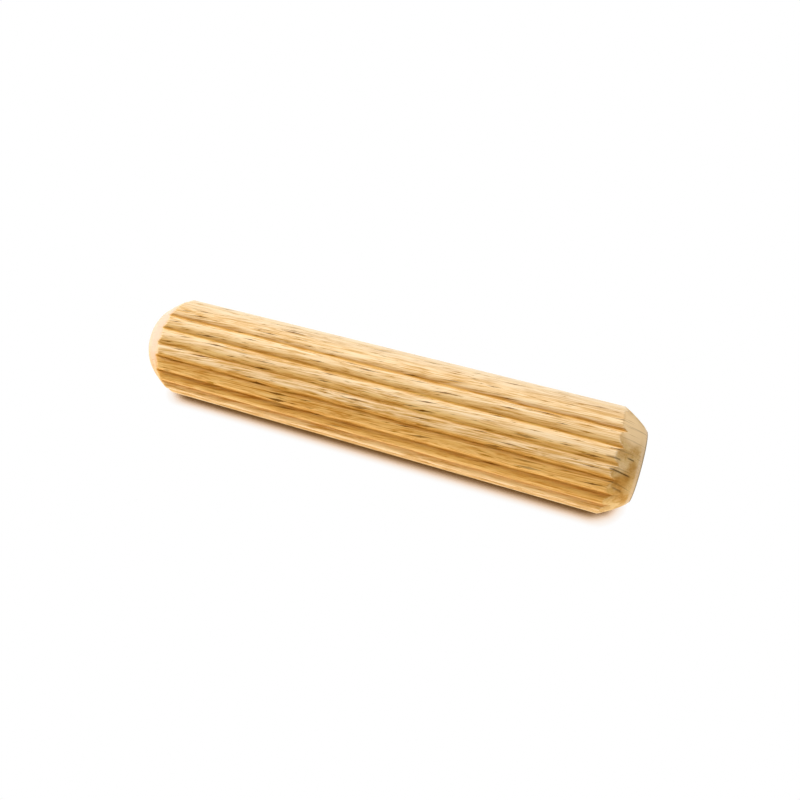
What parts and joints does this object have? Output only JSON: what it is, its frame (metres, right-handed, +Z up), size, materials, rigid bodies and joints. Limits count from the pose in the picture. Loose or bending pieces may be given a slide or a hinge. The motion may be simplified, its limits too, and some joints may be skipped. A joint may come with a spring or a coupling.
{
  "type": "fluted dowel pin",
  "caption": "Round hardwood dowel pin with straight lengthwise flutes and a chamfer at each end.",
  "frame": {"origin": "middle of the pin, on its axis", "axes": "+X along the pin, +Z up, with a groove facing straight down so that the pin rests on two flute crests"},
  "size_m": [0.04, 0.0082, 0.0082],
  "materials": {
    "beech": "bare sanded beech, unfinished, with fine dark ray flecks"
  },
  "bodies": {
    "root": {"dowel_pin": "beech"}
  },
  "joints": []
}
